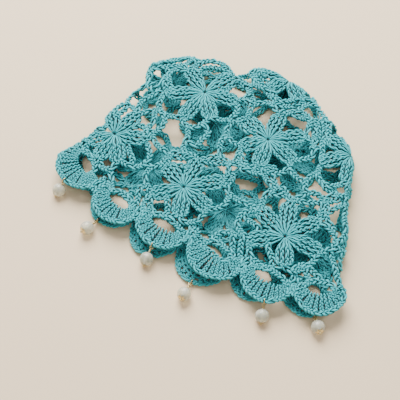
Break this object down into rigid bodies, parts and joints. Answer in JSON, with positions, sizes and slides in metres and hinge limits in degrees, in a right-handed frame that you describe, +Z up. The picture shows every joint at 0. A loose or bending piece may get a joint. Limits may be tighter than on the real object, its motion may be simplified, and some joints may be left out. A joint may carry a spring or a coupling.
{
  "type": "crochet hat",
  "caption": "Soft openwork hat crocheted from flower motifs, lying flat and folded double, with a scalloped brim and round bead drops.",
  "frame": {"origin": "middle of the underside of the hat's box as it lies flat, on the surface that it lies on", "axes": "+X along the brim, from the left fold to the right one; +Y from the brim to the crown; +Z up through the two layers"},
  "size_m": [0.2536, 0.22, 0.0189],
  "materials": {
    "yarn": "matt cotton yarn",
    "bead": "polished, milky and slightly see-through",
    "metal": "bright gold wire"
  },
  "bodies": {
    "root": {"crown_motif": "yarn", "upper_motif_1": "yarn", "upper_motif_2": "yarn", "upper_motif_3": "yarn", "upper_motif_4": "yarn", "upper_motif_5": "yarn", "upper_motif_6": "yarn", "lower_motif_1": "yarn", "lower_motif_2": "yarn", "lower_motif_3": "yarn", "lower_motif_4": "yarn", "lower_motif_5": "yarn", "lower_motif_6": "yarn", "scallop_1": "yarn", "scallop_2": "yarn", "scallop_3": "yarn", "scallop_4": "yarn", "scallop_5": "yarn", "scallop_6": "yarn", "scallop_7": "yarn", "scallop_8": "yarn", "scallop_9": "yarn", "scallop_10": "yarn", "scallop_11": "yarn", "scallop_12": "yarn", "bead_1": "bead", "bead_2": "bead", "bead_3": "bead", "bead_4": "bead", "bead_5": "bead", "bead_6": "bead", "bead_pin_1": "metal", "bead_pin_2": "metal", "bead_pin_3": "metal", "bead_pin_4": "metal", "bead_pin_5": "metal", "bead_pin_6": "metal", "jump_ring_1": "metal", "jump_ring_2": "metal", "jump_ring_3": "metal", "jump_ring_4": "metal", "jump_ring_5": "metal", "jump_ring_6": "metal"}
  },
  "joints": []
}
